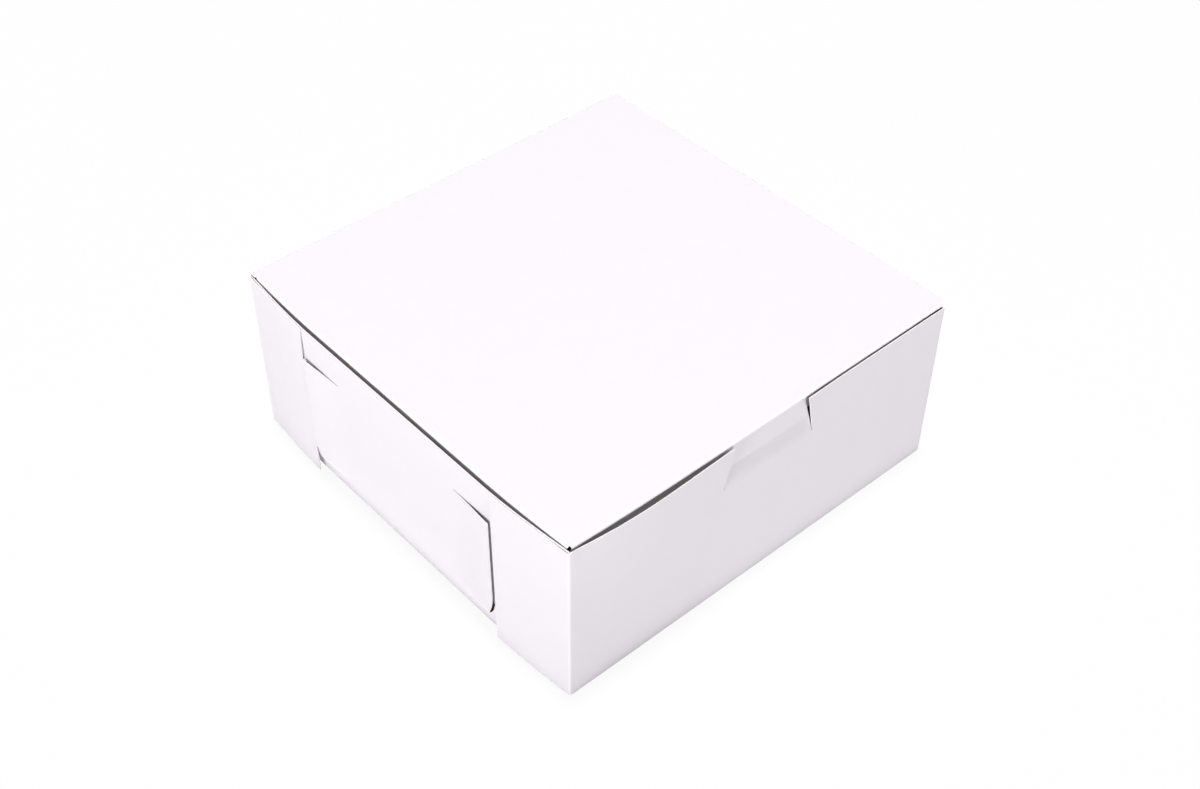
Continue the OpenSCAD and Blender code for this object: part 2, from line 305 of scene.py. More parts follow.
@dataclass
class Tray:
    """Lower box: bottom, four walls and the four corner flaps with their hooks."""

    sizes: BoxSizes
    flap_w: float = 51.0
    hook_reach: float = 18.0
    hook_low: float = 19.0
    hook_taper: float = 14.0
    hook_tip: float = 8.0
    lock_drop: float = 20.0
    lock_run: float = 28.0
    lock_low: float = 8.0
    bend_r: float = 32.0
    bend_turn: float = math.radians(44.0)
    lock_margin: float = 1.0
    cut: float = 0.4
    flap_foot_out: float = 3.4
    flap_top_out: float = 4.2
    hook_dive: float = 2.0
    hook_lead: float = 1.0
    flap_drop: float = 0.8
    press: float = 0.6
    press_h: float = 15.0
    side_bulge: float = 3.6
    bulge_z: float = 40.0
    top_bulge: float = 3.7
    swell_run: float = 60.0
    left_bow: float = 2.9
    right_bow: float = 0.3
    tab_bow: float = 1.4
    left_power: float = 0.64
    right_power: int = 9
    rise_power: float = 1.5
    tab_w: float = 50.0
    tab_h: float = 25.0
    tab_flare: float = 5.5
    tab_tuck: float = 2.1
    tab_hook: float = 3.0
    relief: float = 0.5

    @property
    def lock_u(self) -> float:
        """Distance of a lock's upright cut from the corner."""
        return self.flap_w + self.lock_margin

    @property
    def lock_z(self) -> float:
        """Height of a lock's level cut."""
        return self.sizes.wall_top - self.lock_drop

    @property
    def bend_z(self) -> float:
        """Height at which a lock's upright cut starts to bend."""
        return self.lock_low + self.bend_r * math.sin(self.bend_turn)

    @property
    def hook_top(self) -> float:
        """Height of a hook's upper edge."""
        return self.lock_z - 2 * self.cut

    @property
    def hook_end(self) -> float:
        """Distance of a hook's tip from the corner."""
        return self.flap_w + self.hook_reach

    @property
    def tab_z(self) -> float:
        """Height at which the front tab starts to lean in."""
        return self.sizes.wall_top - self.tab_h

    @property
    def flap_top(self) -> float:
        """Height of the corner flaps' top edge."""
        return self.sizes.wall_top - self.flap_drop

    def swell(self, u: Array) -> Array:
        """Rise of a swell from a corner to its full height: a quarter of a sine over swell_run."""
        crease = self.sizes.crease
        return np.sin(QUARTER * np.clip((u - crease) / (self.swell_run - crease), 0, 1))

    def bulge(self, z: Array) -> Array:
        """Outward bulge of a side wall: a parabola up to bulge_z, then an ease to the top."""
        low = self.side_bulge * (
            1 - (1 - (z - self.sizes.crease) / (self.bulge_z - self.sizes.crease)) ** 2
        )
        start = self.bulge_z + self.lock_run / 2
        high = mix(
            self.side_bulge, self.top_bulge, smooth((z - start) / (self.sizes.wall_top - start))
        )
        return np.where(z < self.bulge_z, np.maximum(low, 0), high)

    def wall_out(self, u: Array, z: Array) -> Array:
        """Outward place of a side wall that nothing lifts."""
        return self.bulge(z) * self.swell(u)

    def cut_u(self, z: Array) -> Array:
        """Distance of a lock's cut from the corner at height z: straight, then a circle's arc."""
        below = np.maximum(0, self.bend_z - np.maximum(z, self.lock_low))
        return self.lock_u + self.bend_r - np.sqrt(self.bend_r**2 - below**2)

    def flap_out(self, u: Array, z: Array) -> Array:
        """Outward place of a corner flap: sprung off the wall, and closed on it at the top."""
        free = mix(self.flap_foot_out, self.flap_top_out, z / self.sizes.wall_top)
        out = np.maximum(free, self.bulge(z))
        closed = smooth((z - self.sizes.wall_top) / self.press_h + 1) * smooth(u / self.press_h)
        out = mix(out, self.bulge(z), closed)
        lap = self.sizes.lap * (1 - self.press * closed)
        return lap + self.sizes.board + out * self.swell(u)

    def tongue(self, u: Array, z: Array) -> Array:
        """Outward place of the side wall past the cut.

        The free edge lies just clear of the flap under it, and eases into the wall over lock_run.

        Args:
            u: Distance from the corner.
            z: Height.

        Returns:
            Distance out from the side wall's own plane.
        """
        edge = self.cut_u(z)
        rise = self.hook_low - self.lock_low - self.lock_margin
        over_flap = self.flap_out(edge, z) + self.sizes.board + self.sizes.lap
        edge_out = mix(self.wall_out(edge, z), over_flap, smooth((z - self.lock_low) / rise))
        return mix(edge_out, self.wall_out(u, z), smooth((u - edge) / self.lock_run))

    def hook_out(self, u: Array, z: Array) -> Array:
        """Outward place of a hook, which bends in before the cut and runs under the tongue."""
        flap = self.flap_out(u, z)
        past = u - self.cut_u(z)
        under = np.minimum(flap, self.tongue(u, z) - self.sizes.board - self.sizes.lap)
        dive = self.hook_dive * smooth((past + self.hook_lead) / self.hook_lead)
        return np.where(past < 0, flap, under) - dive

    def sprung(self, x: Array, side: int, middle: float, left: float, right: float) -> Array:
        """Bow across the front of the box, whose left half swells more than its right half.

        The middle's share is the cosine squared of the turn across the box. The left swell is a
        sine squared whose peak lies towards the corner. On the right the middle's share is the
        cosine to the power 9, and the swell is the sine squared of twice the turn.

        Args:
            x: Distance from the middle.
            side: -1 for the left half, 1 for the right half.
            middle: Bow at the middle.
            left: Further swell of the left half.
            right: Further swell of the right half.

        Returns:
            Distance out from the front's own plane.
        """
        turn = math.pi * x / self.sizes.width
        if side > 0:
            swell = np.abs(np.cos(turn)) ** self.right_power
            return middle * swell + right * np.sin(2 * turn) ** 2
        share = np.clip(1 - 2 * x / self.sizes.width, 0, 1) ** self.left_power
        return middle * np.cos(turn) ** 2 + left * np.sin(math.pi * share) ** 2

    def bow(self, x: Array, z: Array, side: int) -> Array:
        """Outward bow of the front wall, which grows with the height to the power 1.5."""
        crease = self.sizes.crease
        rise = np.maximum(0, z - crease) / (self.sizes.wall_top - crease)
        across = self.sprung(x, side, self.tab_bow, self.left_bow, self.right_bow)
        return across * rise**self.rise_power

    def crease_angles(self) -> Array:
        """Angles round a quarter turn, without its end."""
        return np.linspace(0, QUARTER, STEPS.crease_lines, endpoint=False)

    def with_foot(self, rows: Array) -> tuple[Array, Array, Array]:
        """Put the rows round the bottom crease before a wall's own rows.

        Args:
            rows: Heights of the wall's rows.

        Returns:
            Each row's angle round the crease and its height, and which cells are in the crease.
        """
        bottom = self.crease_angles()
        down = np.concatenate((bottom, np.full(len(rows), QUARTER)))
        z_row = np.concatenate((np.full(len(bottom), self.sizes.crease), rows))
        return down, z_row, np.arange(len(z_row) - 1) < len(bottom)

    def wall_columns(self) -> Array:
        """Columns of the right half of the front and back walls, from the middle."""
        half = self.sizes.width / 2 - self.sizes.crease
        tab = self.tab_w / 2
        foot = self.sizes.side - self.sizes.crease - self.relief
        slope = self.tab_flare / (half - tab)
        foot_column = (foot - slope * half) / (1 - slope)
        return chain(
            spread(0, tab, STEPS.wall),
            [tab],
            spread(tab + self.cut, foot_column, STEPS.far),
            [foot_column, half],
        )

    def slant(self, column: Array, z: Array) -> Array:
        """Carry a column of the front wall sideways so that it follows the tab's slanted cut."""
        half = self.sizes.width / 2 - self.sizes.crease
        tab = self.tab_w / 2
        shift = self.tab_flare * np.clip((self.sizes.wall_top - z) / self.tab_h, 0, 1)
        share = np.where(column <= tab, column / tab, (half - column) / (half - tab))
        return column + shift * share

    def wall_rows(self) -> Array:
        """Heights of the rows of the front and back walls and the corner flaps."""
        crease = self.sizes.crease
        marks = sorted((crease, self.hook_low, self.hook_top, self.tab_z, self.sizes.wall_top))
        rows = [spread(a, b, STEPS.row) for a, b in zip(marks, marks[1:])]
        return np.concatenate(rows + [np.array([self.sizes.wall_top])])

    def back_rows(self, row: Array) -> Array:
        """Carry the front wall's rows to the back wall, whose top edge is higher."""
        lift = self.sizes.back_top - self.sizes.wall_top
        return row + lift * smooth((row - self.tab_z) / self.tab_h)

    def hook_outline(self, u: Array, row: Array) -> Array:
        """Height of a flap's row: level on the flap, squeezed between the hook's edges past it.

        The hook's lower edge rises by hook_taper, and its tip is rounded by a quarter circle.
        """
        past = np.maximum(0, u - (self.hook_end - self.hook_tip))
        rounding = self.hook_tip - np.sqrt(np.maximum(0, self.hook_tip**2 - past**2))
        low = self.hook_low + self.hook_taper * (u - self.flap_w) / self.hook_reach + rounding
        high = self.hook_top - rounding
        share = (row - self.hook_low) / (self.hook_top - self.hook_low)
        upper = self.sizes.wall_top - self.hook_top
        level = np.where(
            row <= self.hook_top,
            row,
            self.hook_top + (row - self.hook_top) * (self.flap_top - self.hook_top) / upper,
        )
        return np.where(u <= self.flap_w, level, mix(low, high, share))

    def wrap(self, face: Face, bowed: bool) -> Sheet:
        """Front or back wall with its bottom crease, corner creases and flaps, as one grid.

        Args:
            face: Which of the two walls.
            bowed: True for the front wall, which bows and has the tab.

        Returns:
            The sheet.
        """
        crease = self.sizes.crease
        half_d = self.sizes.depth / 2
        half = self.sizes.width / 2 - crease
        wall = self.wall_columns()
        turn = self.crease_angles()[1:]
        tip = self.hook_end - self.hook_tip
        flap = chain(
            spread(crease, self.flap_w - self.cut, STEPS.flap),
            [self.flap_w - self.cut, self.flap_w],
            spread(self.lock_u, tip, STEPS.hook),
            tip + self.hook_tip * np.sin(np.linspace(0, QUARTER, STEPS.corner_lines)),
        )
        kind = np.repeat((0, 1, 2), (len(wall), len(turn), len(flap)))
        value = np.concatenate((wall, turn, flap))
        down, z_row, low_cell = self.with_foot(self.wall_rows())
        v, z = np.meshgrid(value, z_row, indexing="ij")
        angle = np.broadcast_to(down, v.shape)
        which = np.broadcast_to(kind[:, None], v.shape)
        z_flap = self.hook_outline(np.where(which == 2, v, crease), z)
        x_wall = self.slant(v, z) if bowed else self.slant(v, np.zeros_like(z))
        on_tab = (v <= self.tab_w / 2) & (z > self.tab_z)
        x = np.select(
            (which == 0, which == 1),
            (x_wall, half + crease * np.sin(v)),
            self.sizes.side + self.hook_out(v, z_flap),
        )
        bent = np.where(which == 1, half_d - crease + crease * np.cos(v), half_d - v)
        z_wall = z if bowed else self.back_rows(z)
        z = np.where(which == 0, z_wall, z_flap)
        foot_in = crease * (1 - np.sin(angle))
        outs = []
        for side in (-1, 1):
            bow = self.bow(x_wall, z, side) if bowed else np.zeros_like(z)
            hinge = self.bow(x_wall, np.full_like(z, self.tab_z), side)
            lean = mix(hinge, -self.tab_tuck, (z - self.tab_z) / self.tab_h)
            wall_out = half_d + np.where(on_tab & bowed, lean, bow)
            outs.append(np.where(which == 0, wall_out, bent) - foot_in)
        z = z - crease * np.cos(angle)
        fold = np.where((which == 1) | (angle < QUARTER - TINY), 1.0, 0.0)

        mid_v, mid_kind = mids(value), kind[:-1]
        foot = self.sizes.side - crease - self.relief
        on_wall = mid_kind == 0
        row = np.broadcast_to(mids(z_row), (len(mid_v), len(z_row) - 1))
        held = ~(low_cell[None, :] & ~(on_wall & (x[1:, 0] < foot + NEAR))[:, None])
        hook = ((mid_kind == 2) & (mid_v > self.flap_w))[:, None]
        held &= ~(hook & ((row < self.hook_low) | (row > self.hook_top)))
        if bowed:
            beside = on_wall & (mid_v > self.tab_w / 2) & (mid_v < self.tab_w / 2 + self.cut)
            held &= ~(beside[:, None] & (row > self.tab_z))
        both = [joined(first, second) for first, second in ((-x, x), outs, (z, z))]
        return Sheet(face.place(*both), chain(held[::-1], held), joined(fold, fold))

    def side_columns(self) -> Array:
        """Columns of half a side wall, as distances from the corner, from its end."""
        end = self.sizes.board + self.sizes.lap
        foot = self.sizes.crease + self.relief
        shift = float(self.cut_u(np.array(self.lock_low))) - self.lock_u
        slope = shift / (self.lock_u - end)
        foot_column = (foot + slope * end) / (1 + slope)
        run_end = self.lock_u + self.lock_run
        return chain(
            [end],
            spread(foot_column, self.lock_u, STEPS.side),
            [self.lock_u],
            spread(self.lock_u + self.cut, run_end, STEPS.tongue),
            spread(run_end, self.sizes.depth / 2, STEPS.far),
        )

    def side_wall(self, face: Face) -> Sheet:
        """Side wall with its bottom crease and its two lock cuts, as one grid.

        Columns beside a cut follow its lower bend, and the tongue past each cut stands out over
        the hook under it.

        Args:
            face: Left or right.

        Returns:
            The sheet.
        """
        half = self.sizes.depth / 2
        end = self.sizes.board + self.sizes.lap
        crease = self.sizes.crease
        columns = self.side_columns()
        reference = np.concatenate((columns - half, [0.0], (half - columns)[::-1]))
        marks = (crease, self.lock_low, self.bend_z, self.lock_z - self.cut)
        rows = np.concatenate(
            [spread(a, b, step) for a, b, step in zip(marks, marks[1:], STEPS.side_rows)]
            + [[marks[-1]], spread(self.lock_z, self.sizes.wall_top, STEPS.side_top)]
            + [[self.sizes.wall_top]]
        )
        down, z_row, low_cell = self.with_foot(rows)
        along, z = np.meshgrid(reference, z_row, indexing="ij")
        angle = np.broadcast_to(down, along.shape)
        u = half - np.abs(along)
        shift = self.cut_u(z) - self.lock_u
        share = np.where(
            u <= self.lock_u, (u - end) / (self.lock_u - end), (half - u) / (half - self.lock_u)
        )
        v = u + shift * share
        whole = (u <= self.lock_u) | (z >= self.lock_z)
        out = self.sizes.side + np.where(whole, self.wall_out(v, z), self.tongue(v, z))
        out = out - crease * (1 - np.sin(angle))
        points = face.place(np.sign(along) * (half - v), out, z - crease * np.cos(angle))
        fold = np.where(angle < QUARTER - TINY, 1.0, 0.0)

        column, row = np.meshgrid(half - np.abs(mids(reference)), mids(z_row), indexing="ij")
        foot = np.abs(points[:, 0, 1]) < half - crease - self.relief + NEAR
        held = ~(low_cell[None, :] & ~(foot[:-1] & foot[1:])[:, None])
        in_run = (column > self.lock_u) & (column < self.lock_u + self.lock_run)
        upright = in_run & (column < self.lock_u + self.cut)
        held &= ~(upright & (row > self.lock_low) & (row < self.lock_z))
        held &= ~(in_run & (row > self.lock_z - self.cut) & (row < self.lock_z))
        return Sheet(points, held, fold, flip=face is Face.RIGHT)

    def bottom(self, walls: Sheet, sides: Sheet) -> Sheet:
        """Bottom panel, whose grid takes the feet of the walls' columns.

        Args:
            walls: The front wall's sheet.
            sides: A side wall's sheet.

        Returns:
            The sheet.
        """
        crease = self.sizes.crease
        edge_x = self.sizes.side - crease
        edge_y = self.sizes.depth / 2 - crease
        feet_x = walls.points[:, 0, 0]
        feet_y = np.sort(sides.points[:, 0, 1])
        on_front = np.abs(walls.points[:, 0, 1] + edge_y) < TINY
        feet_x = feet_x[on_front & (np.abs(feet_x) < edge_x - self.relief + NEAR)]
        feet_y = feet_y[np.abs(feet_y) < edge_y - self.relief + NEAR]
        x = np.concatenate(([-edge_x], feet_x, [edge_x]))
        y = np.concatenate(([-edge_y], feet_y, [edge_y]))
        grid = np.meshgrid(x, y, indexing="ij")
        points = np.stack((grid[0], grid[1], np.zeros_like(grid[0])), axis=-1)
        held = np.ones((len(x) - 1, len(y) - 1), dtype=bool)
        return Sheet(points, held, np.zeros(grid[0].shape), flip=True)

    def build(self, materials: Sequence[bpy.types.Material]) -> bpy.types.Object:
        """Make the whole tray as one welded board."""
        front = self.wrap(Face.FRONT, bowed=True)
        back = self.wrap(Face.BACK, bowed=False)
        left, right = self.side_wall(Face.LEFT), self.side_wall(Face.RIGHT)
        board = Board(self.sizes.board, [front, back, left, right, self.bottom(front, left)])
        return board.build("tray_board", materials)


class LidGrid(NamedTuple):
    """The lid's columns and rows: each one's kind, and its share, angle, place or depth."""

    col_kind: Array
    col_value: Array
    row_kind: Array
    row_value: Array


@dataclass
class Lid:
    """Lid: top panel, two side ears and the front lip."""

    sizes: BoxSizes
    tray: Tray
    lip_gap: float = 0.8
    ear_gap: float = 0.35
    lid_bulge: float = 2.2
    lid_bow: float = 1.0
    left_bow: float = 0.9
    right_bow: float = 0.3
    loose_out: float = 2.1
    loose_turn: float = 1.0
    loose_r: float = 0.62
    lip_mid: float = 13.0
    lip_side: float = 19.0
    lip_end: float = 6.0
    lip_lift: float = 2.0
    lip_lean: float = 2.2
    lip_turn: tuple[float, float] = (4.0, 1.4)
    lip_past: tuple[float, float] = (0.5, -1.6)
    lip_quick: tuple[float, float] = (6.0, 2.5)
    ear_h: float = 30.0
    ear_slant: float = 12.0
    ear_corner: float = 8.0
    ear_lean: float = 3.0
    ear_rear: float = 5.0
    clip: float = 1.4
    loose_clip: float = 2.6
    clip_run: float = 8.0
    relief: float = 0.5
    edge_strip: float = 10.0
    edge_start: float = 0.88
    clip_spill: float = 0.35
    slot_span: tuple[float, float] = (-1.0, 9.0)

    @property
    def half_x(self) -> float:
        """Distance of an ear's outer face from the middle."""
        return self.sizes.side - self.sizes.board - self.ear_gap

    @property
    def front(self) -> float:
        """Distance of the lip's outer face from the middle, at the fold."""
        return self.sizes.depth / 2 - self.sizes.board - self.lip_gap

    @property
    def lip_half(self) -> float:
        """Half of the lip's width."""
        return self.half_x - self.clip

    @property
    def ear_front(self) -> float:
        """Distance of an ear's front end from the front of the box."""
        return self.sizes.depth / 2 - self.front + self.clip

    def lip_depth(self, x: Array) -> Array:
        """Depth of the lip: shallow in front of the tab, deep beside it, short at its ends."""
        foot = self.tray.tab_w / 2 + self.tray.tab_flare + 2 * self.tray.tab_hook
        deep = mix(self.lip_mid, self.lip_side, smooth((np.abs(x) - foot) / self.lip_mid))
        ends = smooth((np.abs(x) - self.lip_half + self.lip_side) / self.lip_side)
        return mix(deep, self.lip_end, ends)

    def ear_half(self, depth: Array) -> Array:
        """Half of the ear's length at a depth: a slanted side with a rounded lower corner."""
        full = (self.sizes.depth - self.ear_front - self.ear_rear) / 2
        past = np.maximum(0, depth - (self.ear_h - self.ear_corner))
        rounding = self.ear_corner - np.sqrt(np.maximum(0, self.ear_corner**2 - past**2))
        return full - self.ear_slant * depth / self.ear_h - rounding

    def lip_edge(self, x: Array, side: int) -> Array:
        """Outward place of the fold along the front edge, which bows with the front wall."""
        return self.front + self.tray.sprung(x, side, self.lid_bow, self.left_bow, self.right_bow)

    def lip_out(self, x: Array, depth: Array, side: int) -> Array:
        """Outward place of the lip.

        It stands out over the tab, and goes in behind the wall just past the tab's cuts, which
        spread on their way down.

        Args:
            x: Distance from the middle.
            depth: Depth below the lid's top.
            side: -1 for the left half, 1 for the right half.

        Returns:
            Distance out from the middle of the box.
        """
        below = np.maximum(0, depth - (self.sizes.height - self.sizes.wall_top))
        tab_edge = self.tray.tab_w / 2 + self.tray.tab_flare * below / self.tray.tab_h
        loose = int(side > 0)
        turn = smooth((x - tab_edge - self.lip_past[loose]) / self.lip_turn[loose])
        sunk = depth - self.sizes.crease
        steady = np.clip(sunk / (self.lip_mid - self.sizes.crease), 0, 1)
        reached = mix(steady, smooth(sunk / self.lip_quick[loose]), turn)
        hung = self.front + mix(self.lip_lift, -self.lip_lean, turn)
        return mix(self.lip_edge(x, side), hung, reached)

    def side_edge(self, y: Array) -> Array:
        """Distance of a snug side's fold from the middle; it bulges between the corners."""
        return self.half_x + self.lid_bulge * self.tray.swell(self.sizes.depth / 2 - np.abs(y))

    def loose_edge(self, y: Array) -> Array:
        """Distance of the loose side's fold from the middle: straight, and wider at the front."""
        half = self.sizes.depth / 2
        return self.sizes.width / 2 + self.loose_out - self.loose_turn * y / half

    def columns(self) -> tuple[Array, Array]:
        """Columns of the right half: 0 for the panel, 1 round the crease, 2 down the ear.

        Returns:
            The kind of each column, and its share of the panel, its angle or its depth.
        """
        crease = self.sizes.crease
        reach = self.half_x - crease
        end = self.lip_half / reach
        slots = [(self.tray.tab_w / 2 + past) / reach for past in self.slot_span]
        panel = chain(
            spread(0, slots[0], STEPS.panel_share),
            spread(*slots, STEPS.slot_share),
            spread(slots[1], end, STEPS.panel_share),
            [end],
        )
        turn = self.tray.crease_angles()
        rounding = 1 - np.sin(np.linspace(0, QUARTER, STEPS.corner_lines))
        drop = chain(
            [crease],
            spread(crease + self.ear_gap, self.ear_h - self.ear_corner, STEPS.ear),
            self.ear_h - self.ear_corner * rounding,
        )
        kind = np.repeat((0, 1, 2), (len(panel), len(turn), len(drop)))
        return kind, np.concatenate((panel, turn, drop))

    def rows(self) -> tuple[Array, Array]:
        """Rows from the back: 0 for the panel, 1 round the crease, 2 down the lip.

        Returns:
            The kind of each row, and its place, angle or share of the lip's depth.
        """
        half = self.sizes.depth / 2
        rear, front = half - self.ear_rear, self.ear_front - half
        panel = chain(
            spread(half - self.sizes.crease, rear + self.relief, STEPS.ear),
            [rear + self.relief],
            spread(rear, front, STEPS.flap),
            [front],
        )
        turn = self.tray.crease_angles()
        share = np.linspace(0, 1, STEPS.lip_lines)
        kind = np.repeat((0, 1, 2), (len(panel), len(turn), len(share)))
        return kind, np.concatenate((panel, turn, share))

    def held(self, grid: LidGrid) -> Array:
        """Which cells are board: the panel, the ears between their slits, and the lip."""
        col_kind, col_value, row_kind, row_value = grid
        half = self.sizes.depth / 2
        on_panel_row = (row_kind[:-1] == 0) & (row_kind[1:] == 0)
        in_ear = (row_value[:-1] <= half - self.ear_rear + TINY) & (
            row_value[1:] >= self.ear_front - half - TINY
        )
        panel_column = (col_kind[:-1] == 0) & (col_kind[1:] == 0)
        share = self.lip_half / (self.half_x - self.sizes.crease)
        lip_column = panel_column & (col_value[1:] <= share + TINY)
        held = panel_column[:, None] & on_panel_row[None, :]
        held |= ~panel_column[:, None] & (on_panel_row & in_ear)[None, :]
        held |= lip_column[:, None] & ~on_panel_row[None, :]
        return held

    def half_points(self, grid: LidGrid, side: int) -> list[Array]:
        """Points of one half of the lid, folded down at the ear and the lip.

        The panel runs out to its edge, round the crease and down the ear; behind the ear it stays
        flat and runs out over the side wall. In the left half the ear's crease is a quarter turn.
        In the right half it is pressed flat, a half turn that stands out over the wall's edge.
        Over the front the panel runs out to its bowed edge, round the crease and down the lip.

        Args:
            grid: The columns and rows.
            side: -1 for the left half, 1 for the right half.

        Returns:
            Distance from the middle, y and z of each point.
        """
        crease = self.sizes.crease
        top = self.sizes.height
        half = self.sizes.depth / 2
        ear_lo, ear_hi = self.ear_front - half, half - self.ear_rear
        v, r = np.meshgrid(grid.col_value, grid.row_value, indexing="ij")
        across = np.broadcast_to(grid.col_kind[:, None], v.shape)
        down = np.broadcast_to(grid.row_kind[None, :], v.shape)
        loose = side > 0

        middle = (ear_lo + ear_hi) / 2
        squeeze = self.ear_half(np.where(across == 2, v, 0)) / self.ear_half(np.array(0.0))
        in_ear = np.where(across == 2, middle + (r - middle) * squeeze, r)
        y_row = np.where(down == 0, in_ear, -half)
        snug = self.side_edge(y_row)
        edge = self.loose_edge(y_row) if loose else snug
        radius = self.loose_r if loose else crease
        turn = np.where(across == 1, 2 * v if loose else v, 0)
        behind = (down == 0) & (r > ear_hi + self.relief / 2)
        straight = self.half_x - crease
        reach = np.where(behind, edge if loose else self.sizes.side, edge - radius)
        to_edge = smooth((v - self.edge_start) / (1 - self.edge_start))
        flat_x = straight * v + (reach - straight) * to_edge
        lean = self.ear_lean * (v - crease) / (self.ear_h - crease)
        ear_x = np.where(loose & (v <= crease), edge - radius, snug - lean)
        bent_x = edge - radius * (1 - np.sin(turn))
        x = np.select((across == 0, across == 1), (flat_x, bent_x), ear_x)
        depth = np.select((across == 0, across == 1), (0 * v, radius * (1 - np.cos(turn))), v)
        z_row = top - depth

        if loose:
            x_snug = straight * v
            x = np.where(down == 2, mix(x, x_snug, smooth(2 * r)), x)
            near_side = smooth((x_snug - self.lip_half) / self.clip_run + 1)
            near_side = np.where(across == 0, near_side, 1.0)
            near_front = smooth((ear_lo - y_row) / self.clip_run + 1)
            both = self.loose_clip * near_side * near_front
            x = x - both * np.select((down > 0, across > 0), (1.0, 0.0), self.clip_spill)
            y_row = y_row + both * np.select((down > 0, across > 0), (0.0, 1.0), self.clip_spill)

        front = self.lip_edge(x, side)
        near = smooth((crease - self.front + self.edge_strip - r) / self.edge_strip)
        shift = (self.front - front) * near * (across == 0)
        depth = mix(crease, self.lip_depth(x), np.where(down == 2, r, 0))
        y_fold = crease - front - crease * np.sin(np.where(down == 1, r, 0))
        hung = -self.lip_out(x, depth, side)
        y = np.select((down == 0, down == 1), (y_row + shift, y_fold), hung)
        z_fold = top - crease * (1 - np.cos(r))
        z = np.select((down == 0, down == 1), (z_row, z_fold), top - depth)
        return [x, y, z]

    def build(self, materials: Sequence[bpy.types.Material]) -> bpy.types.Object:
        """Make the lid as one grid from its two halves."""
        grid = LidGrid(*self.columns(), *self.rows())
        left, right = (self.half_points(grid, side) for side in (-1, 1))
        left[0] = -left[0]
        parts = [joined(a, b) for a, b in zip(left, right)]
        folded = (grid.col_kind == 1)[:, None] | (grid.row_kind == 1)[None, :]
        fold = np.where(folded, 1.0, 0.0)
        held = self.held(grid)
        points = np.stack(parts, axis=-1)
        sheet = Sheet(points, chain(held[::-1], held), joined(fold, fold), flip=True)
        return Board(self.sizes.board, [sheet]).build("lid_board", materials)


@dataclass
class BackCrease:
    """The crease that joins the back wall to the lid."""

    sizes: BoxSizes
    half_x: float
    columns: int = 65
    rows: int = 9

    def build(self, materials: Sequence[bpy.types.Material]) -> bpy.types.Object:
        """Make a quarter turn of board along the top of the back wall."""
        crease = self.sizes.crease
        x = np.linspace(-self.half_x, self.half_x, self.columns)
        angle = np.linspace(0, QUARTER, self.rows)
        along, turn = np.meshgrid(x, angle, indexing="ij")
        out = self.sizes.depth / 2 - crease + crease * np.cos(turn)
        z = self.sizes.height - crease + crease * np.sin(turn)
        points = np.stack((along, out, z), axis=-1)
        held = np.ones((len(x) - 1, len(angle) - 1), dtype=bool)
        sheet = Sheet(points, held, np.ones(along.shape), flip=True)
        return Board(self.sizes.board, [sheet]).build("back_crease", materials)


class Wire:
    """A shader socket that can be used in arithmetic; each operation adds its Math node."""

    def __init__(self, bench: Bench, socket: bpy.types.NodeSocket) -> None:
        """Hold the socket and the bench that it is wired on."""
        self.bench = bench
        self.socket = socket

    def _math(self, operation: str, first: Any, second: Any) -> Wire:
        """Add a Math node of the given operation on two wires or numbers."""
        node = self.bench.node("ShaderNodeMath", {"operation": operation}, {0: first, 1: second})
        return Wire(self.bench, node.outputs[0])

    def __add__(self, other: Wire | float) -> Wire:
        """Sum."""
        return self._math("ADD", self, other)

    def __sub__(self, other: Wire | float) -> Wire:
        """Difference."""
        return self._math("SUBTRACT", self, other)

    def __mul__(self, other: Wire | float) -> Wire:
        """Product."""
        return self._math("MULTIPLY", self, other)

    def __rsub__(self, other: float) -> Wire:
        """Difference from a number."""
        return self._math("SUBTRACT", other, self)

    __radd__ = __add__
    __rmul__ = __mul__


